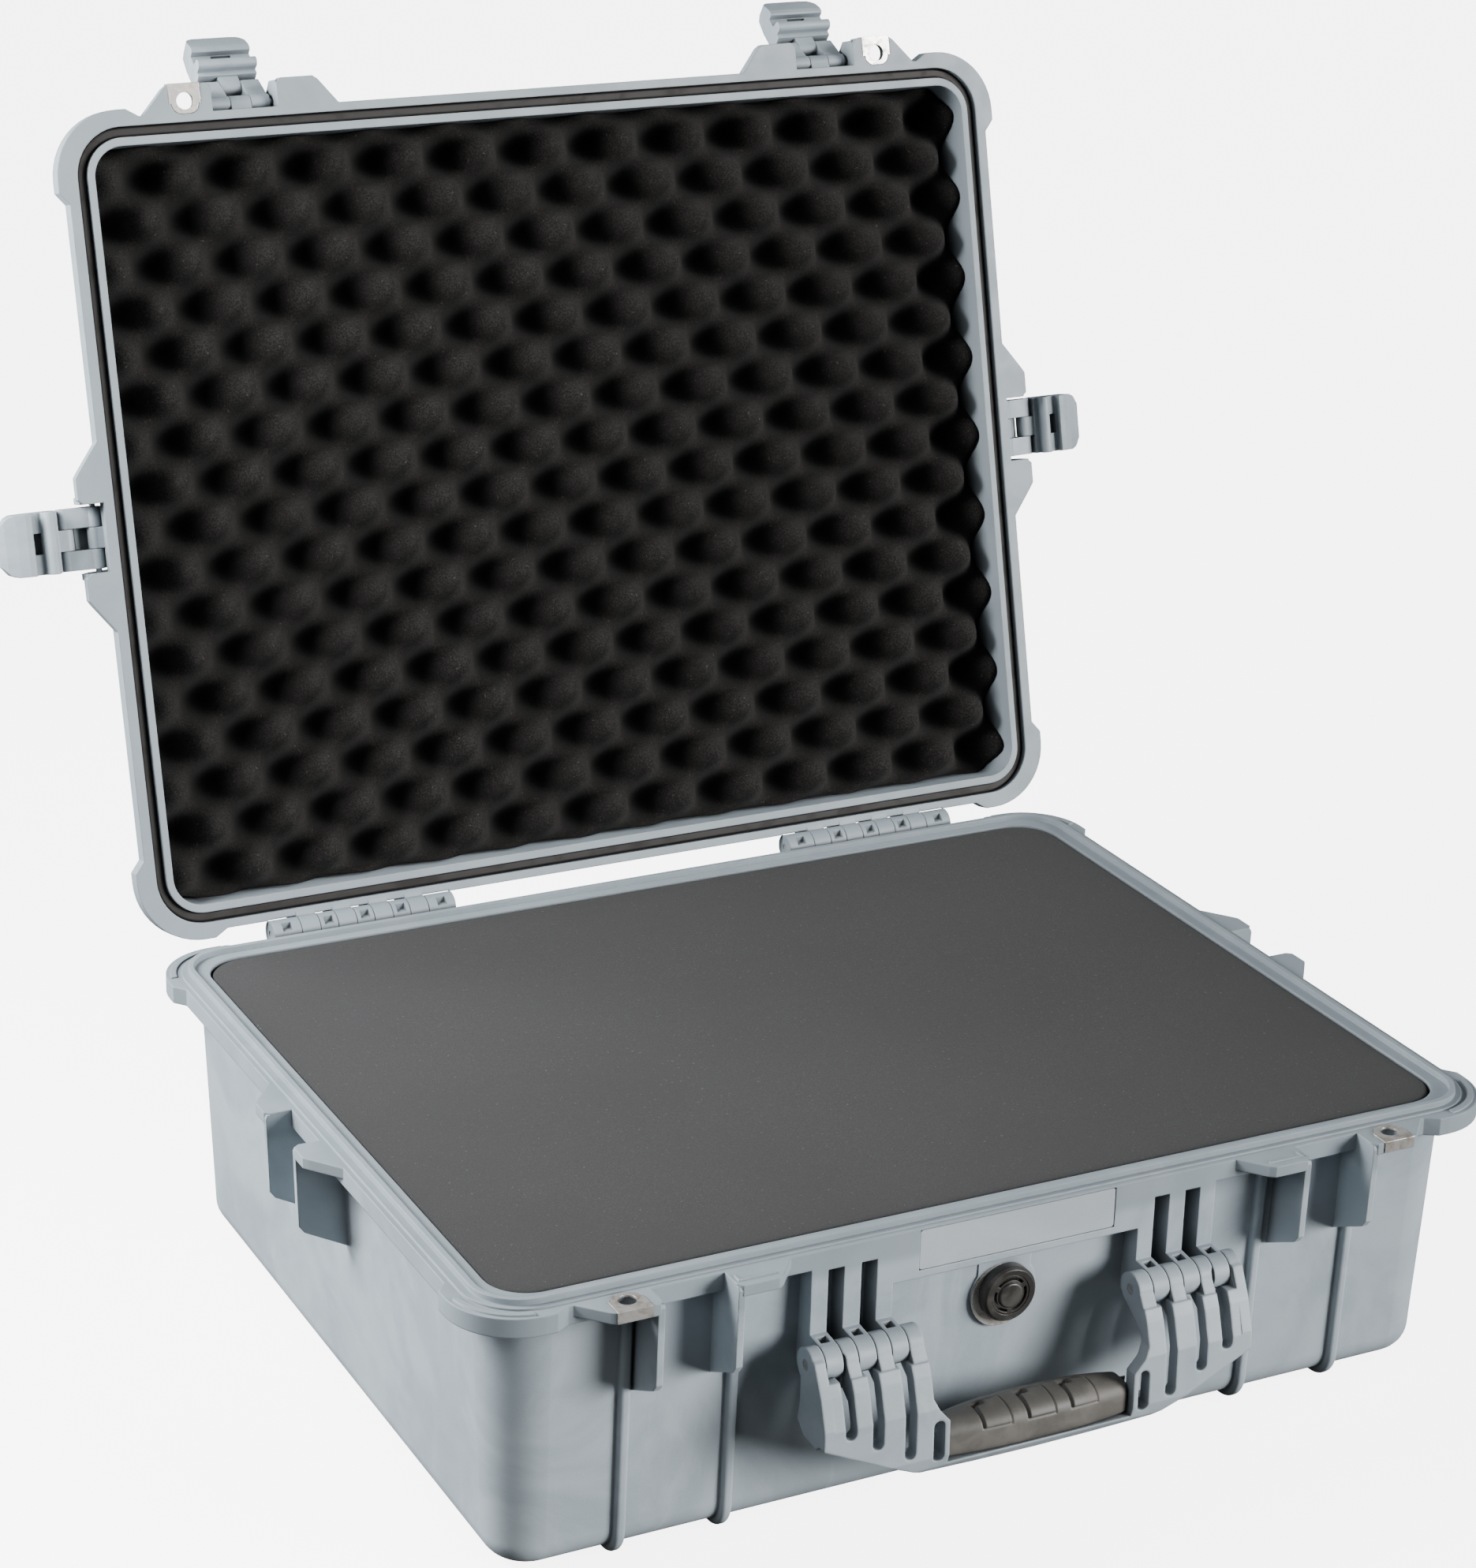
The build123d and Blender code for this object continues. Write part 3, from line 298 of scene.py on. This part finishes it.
def outline_points(half_x, half_y, radius, z, corner_steps=10, edge_steps=14):
    """A rounded rectangle's points, counter-clockwise from its lower right straight."""
    points = []
    corners = ((1, -1, -90), (1, 1, 0), (-1, 1, 90), (-1, -1, 180))
    for sx, sy, start in corners:
        cx, cy = sx * (half_x - radius), sy * (half_y - radius)
        for k in range(corner_steps + 1):
            angle = radians(start + 90 * k / corner_steps)
            points.append(Vector((cx + radius * cos(angle), cy + radius * sin(angle), z)))
    full = []
    for k, point in enumerate(points):
        full.append(point)
        following = points[(k + 1) % len(points)]
        if (k + 1) % (corner_steps + 1) == 0:
            for step in range(1, edge_steps):
                full.append(point.lerp(following, step / edge_steps))
    return full


def foam_block(name, node, radius, edge, sag):
    """A cut foam block in the place of a CAD layer: soft edges, a slightly uneven top."""
    low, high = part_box(node)
    half_x, half_y = (high.x - low.x) / 2, (high.y - low.y) / 2
    taper = (high.z - low.z) * tan(DRAFT)
    rings = [(low.z, taper + edge), (low.z + edge, taper)]      # (height, inset)
    for k in range(5):
        turn = radians(90 * k / 4)
        rings.append((high.z - edge + edge * sin(turn), edge * (1 - cos(turn))))
    points, faces = [], []
    for height, inset in rings:
        points += outline_points(half_x - inset, half_y - inset, radius - inset * 0.5, height)
    around = len(points) // len(rings)
    shrink = [0.985, 0.96, 0.92, 0.84, 0.74, 0.62, 0.5, 0.38, 0.26, 0.14]
    rim = points[-around:]
    for share in shrink:
        for point in rim:
            x, y = point.x * share, point.y * share
            dip = sag * (sin(x * 23 + 1) * sin(y * 29 + 2) - 1) * (1 - share)
            points.append(Vector((x, y, point.z + dip)))
    layers = len(points) // around
    for layer in range(layers - 1):
        for k in range(around):
            a, b = layer * around + k, layer * around + (k + 1) % around
            faces.append((a, b, b + around, a + around))
    faces.append(tuple(range(around - 1, -1, -1)))
    faces.append(tuple(range((layers - 1) * around, layers * around)))
    made = mesh_object(name, points, faces, BASE_FOAM, "base")
    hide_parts(node)


DRAFT = radians(2.4)                     # slope of the tub's walls
LID_FOAM_BACK = RIM_Z + 0.046
LID_FOAM_FRONT = RIM_Z + 0.005
LID_FOAM_HALF = (0.2770, 0.2148)         # half sizes of the lid foam's face
CREST_X, CREST_Y = 0.04575, 0.0495       # repeat of the convoluted foam
CREST_PHASE = Vector((-0.1990, -0.1965))
CREST_DEPTH = 0.028
CREST_WOBBLE, TIP_INSET = 0.0007, 0.0015     # unevenness of the face, and how far its tips lie back


def pit_share(x, y):
    """0 on the crests of the convoluted face, 1 at the floor of its pits."""
    wave = cos(2 * pi * (x - CREST_PHASE.x) / CREST_X)
    wave *= cos(2 * pi * (y - CREST_PHASE.y) / CREST_Y)
    return (1 + wave) / 2


def crest_depth(x, y):
    """How far the convoluted face lies behind the foam's front plane."""
    wobble = CREST_WOBBLE * (sin(x * 61 + 3 * sin(y * 17)) + sin(y * 53 + 2 * sin(x * 23)))
    return CREST_DEPTH * pit_share(x, y) + wobble + TIP_INSET


def convoluted_foam(name, node, columns, rows, radius):
    """The lid's egg-crate foam: a closed slab whose open face is rows of crests and pits."""
    front_inset, back_inset = 0.0006, 0.0023
    half_x, half_y = (half - front_inset for half in LID_FOAM_HALF)
    points, faces, depths = [], [], []
    for j in range(rows + 1):
        y = half_y * (2 * j / rows - 1)
        past = max(0.0, abs(y) - (half_y - radius))
        half = half_x - radius + max(0.0, radius ** 2 - past ** 2) ** 0.5
        for i in range(columns + 1):
            x = half * (2 * i / columns - 1)
            points.append(OPEN_TURN @ Vector((x, y, LID_FOAM_FRONT + crest_depth(x, y))))
            depths.append(pit_share(x, y))
    wide = columns + 1
    for j in range(rows):
        for i in range(columns):
            a = j * wide + i
            faces.append((a, a + wide, a + wide + 1, a + 1))
    rim = [(i, 0) for i in range(columns)] + [(columns, j) for j in range(rows)]
    rim += [(i, rows) for i in range(columns, 0, -1)] + [(0, j) for j in range(rows, 0, -1)]
    front = [j * wide + i for i, j in rim]
    back = []
    to_closed = OPEN_TURN.inverted()
    draw_in = 1 - back_inset / half_x
    for index in front:
        flat = to_closed @ points[index]
        back.append(len(points))
        points.append(OPEN_TURN @ Vector((flat.x * draw_in, flat.y * draw_in, LID_FOAM_BACK - 0.0003)))
        depths.append(0.0)
    for k in range(len(front)):
        following = (k + 1) % len(front)
        faces.append((front[k], front[following], back[following], back[k]))
    faces.append(tuple(reversed(back)))
    made = mesh_object(name, points, faces, LID_FOAM, "lid")
    # the depth per point also drives the foam's painted shade in its pits
    made.data.attributes.new("depth", "FLOAT", "POINT").data.foreach_set("value", depths)
    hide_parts(node)


foam_block("foam_upper_soft", "foam_upper_layer", 0.0225, 0.0018, 0.0004)
foam_block("foam_lower_soft", "foam_lower_layer", 0.020, 0.0015, 0.0002)
foam_block("foam_base_pad_soft", "foam_base_pad", 0.018, 0.0015, 0.0002)
convoluted_foam("lid_foam_convoluted", "lid_foam", 186, 144, 0.0165)


GRIP_PADS = (-0.0255, 0.0, 0.0255)       # places of the raised pads along the grip
GRIP_PAD_HALF = 0.0072
PAD_TURN, PAD_REACH = 0.52, 0.69         # middle and half extent of a pad round the grip, radians
PAD_GROOVE = (0.0010, 0.07)              # width of the groove round a pad, along and around
PAD_RISE, PAD_GROOVE_DEPTH, DIMPLE_DEPTH = 0.0009, 0.0008, 0.0040
GRIP_ROUND, GRIP_FLAT = 2.6, 7.0         # how square the section is above and below
GRIP_TAPER = 0.30                        # how much thinner the grip is at its ends
SKIN_INSET = 0.0004


def near(value, place, half, soft):
    """1 within half of place, falling smoothly to 0 over soft."""
    share = min(1.0, max(0.0, (abs(value - place) - half) / soft))
    return 1 - share * share * (3 - 2 * share)


def grip_radius(x, turn):
    """How far the skin stands off the plain barrel; turn is 0 at the top, positive to the front."""
    ring = 0.0
    for place in GRIP_PADS:
        outline = near(x, place, GRIP_PAD_HALF + PAD_GROOVE[0], 0.0004)
        outline *= near(turn, PAD_TURN, PAD_REACH + PAD_GROOVE[1], 0.05)
        pad = near(x, place, GRIP_PAD_HALF, 0.0005) * near(turn, PAD_TURN, PAD_REACH, 0.05)
        ring += PAD_RISE * pad - PAD_GROOVE_DEPTH * (outline - pad)
        dimple = near(x, place - GRIP_PAD_HALF + 0.0020, 0.0024, 0.0010)
        dimple *= near(turn, -0.12, 0.13, 0.07)
        ring -= DIMPLE_DEPTH * dimple
    return ring


def grip_sleeve(name, node, along, around):
    """The rubber sleeve of the handle: a barrel with three raised pads down its front."""
    low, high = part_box(node)
    middle = Vector((0.0, (low.y + high.y) / 2, (low.z + high.z) / 2))
    half_x, half_y, half_z = (high.x - low.x) / 2, (high.y - low.y) / 2, (high.z - low.z) / 2
    points, faces = [], []
    for i in range(along + 1):
        x = half_x * (2 * i / along - 1)
        barrel = 1 - GRIP_TAPER * abs(x / half_x) ** 2.6
        for k in range(around):
            turn = 2 * pi * k / around
            if turn > pi:
                turn -= 2 * pi
            across, rise = -sin(turn), cos(turn)
            power = GRIP_ROUND if rise > 0 else GRIP_FLAT
            square = (abs(across) ** power + abs(rise) ** power) ** (-1 / power)
            skin = grip_radius(x, turn)
            y = across * square * (half_y * barrel + skin - SKIN_INSET)
            z = rise * square * (half_z * (barrel if rise > 0 else 1.0) + skin - SKIN_INSET)
            z = max(z, -half_z * 0.985)
            points.append(Vector((x, middle.y + y, middle.z + z)))
    for i in range(along):
        for k in range(around):
            a, b = i * around + k, i * around + (k + 1) % around
            faces.append((a, b, b + around, a + around))
    faces.append(tuple(range(around - 1, -1, -1)))
    faces.append(tuple(range(along * around, (along + 1) * around)))
    made = mesh_object(name, points, faces, GRIP, "handle")
    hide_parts(node)


grip_sleeve("handle_grip_sleeve", "handle_grip", 210, 128)


# ---- floor, light and camera -------------------------------------------------------------------
WORLD_LIGHT = 0.07
FLOOR_REACH = 14.0
FLOOR_GLOW, DOME_GLOW = 5.2, 6.4
FLOOR_GAP = 0.0002                       # the floor lies this far below the skid ribs
AZIMUTH, ELEVATION, ROLL = 27.38, 21.26, 1.56    # the photograph's angles, in degrees
DISTANCE = 2.046
FOCAL_PX, IMAGE_PX = 4876.8, 1871        # focal length and image width, in pixels
TARGET = Vector((-0.0462, 0.0, 0.311))
SENSOR_MM = 36.0


def stage_piece(name, mesh, tone, glow):
    """A piece of the room: seen by the camera, but throwing no light back onto the case."""
    g = Graph(name)
    mesh.materials.append(g.finish(Base_Color=tone, Roughness=0.9, Emission_Color=rgb(1.0, 1.0, 1.0),
                                   Emission_Strength=glow))
    made = bpy.data.objects.new(name, mesh)
    made.visible_diffuse = False
    made.visible_glossy = False
    bpy.context.scene.collection.objects.link(made)
    return made


def stage_room():
    """A plain pale floor under the case, and a pale dome far around it."""
    floor = bpy.data.meshes.new("floor")
    corners = ((-1, -1), (1, -1), (1, 1), (-1, 1))
    points = [(FLOOR_REACH * x, FLOOR_REACH * y, 0) for x, y in corners]
    floor.from_pydata(points, [], [(0, 1, 2, 3)])
    stage_piece("floor", floor, rgb(0.93, 0.93, 0.93), FLOOR_GLOW).location.z = -FLOOR_GAP
    ball = bmesh.new()
    bmesh.ops.create_icosphere(ball, subdivisions=4, radius=FLOOR_REACH)
    dome = bpy.data.meshes.new("dome")
    ball.to_mesh(dome)
    ball.free()
    stage_piece("dome", dome, rgb(0.0, 0.0, 0.0), DOME_GLOW).visible_shadow = False


def sun(name, toward, energy, spread, colour=(1.0, 1.0, 1.0)):
    """A soft distant light; toward is the direction it shines in, spread its disc in degrees."""
    lamp = bpy.data.lights.new(name, "SUN")
    lamp.energy = energy
    lamp.angle = radians(spread)
    lamp.color = colour
    made = bpy.data.objects.new(name, lamp)
    made.rotation_euler = Vector(toward).to_track_quat("-Z", "Y").to_euler()
    bpy.context.scene.collection.objects.link(made)


def softbox(name, place, target, size, power):
    """A square softbox aimed at a point."""
    lamp = bpy.data.lights.new(name, "AREA")
    lamp.size = size
    lamp.energy = power
    made = bpy.data.objects.new(name, lamp)
    made.location = place
    made.rotation_euler = (Vector(target) - Vector(place)).to_track_quat("-Z", "Y").to_euler()
    bpy.context.scene.collection.objects.link(made)


def studio():
    """Dim white room light, a broad key at the front right, others at the back left and above."""
    world = bpy.data.worlds.new("studio")
    world.use_nodes = True
    background = world.node_tree.nodes["Background"]
    background.inputs["Color"].default_value = rgb(1.0, 1.0, 1.0)
    background.inputs["Strength"].default_value = WORLD_LIGHT
    bpy.context.scene.world = world
    sun("key", (-0.81, 0.87, -0.30), 5.9, 28.0, (1.0, 0.995, 0.985))
    sun("side", (0.87, -0.73, -0.22), 3.55, 26.0, (0.97, 0.99, 1.0))
    sun("above", (0.80, 0.45, -0.80), 0.55, 36.0)
    softbox("left", (-1.00, 0.30, 0.85), (-0.2, 0.0, 0.16), 0.5, 33.0)


def photo_camera():
    """The camera at the photograph's angle: azimuth from the front, elevation, distance, roll."""
    azimuth, elevation, roll = radians(AZIMUTH), radians(ELEVATION), radians(ROLL)
    ahead = Vector((sin(azimuth) * cos(elevation), cos(azimuth) * cos(elevation), -sin(elevation)))
    right = Vector((cos(azimuth), -sin(azimuth), 0.0))
    up = right.cross(ahead)
    side = cos(roll) * right + sin(roll) * up
    top = -sin(roll) * right + cos(roll) * up
    lens = bpy.data.cameras.new("camera")
    lens.sensor_fit = "HORIZONTAL"
    lens.sensor_width = SENSOR_MM
    lens.lens = FOCAL_PX / IMAGE_PX * SENSOR_MM
    lens.clip_end = 60.0
    made = bpy.data.objects.new("camera", lens)
    facing = Matrix((side, top, -ahead)).transposed().to_4x4()
    made.matrix_world = Matrix.Translation(TARGET - ahead * DISTANCE) @ facing
    bpy.context.scene.collection.objects.link(made)
    bpy.context.scene.camera = made


stage_room()
studio()
photo_camera()
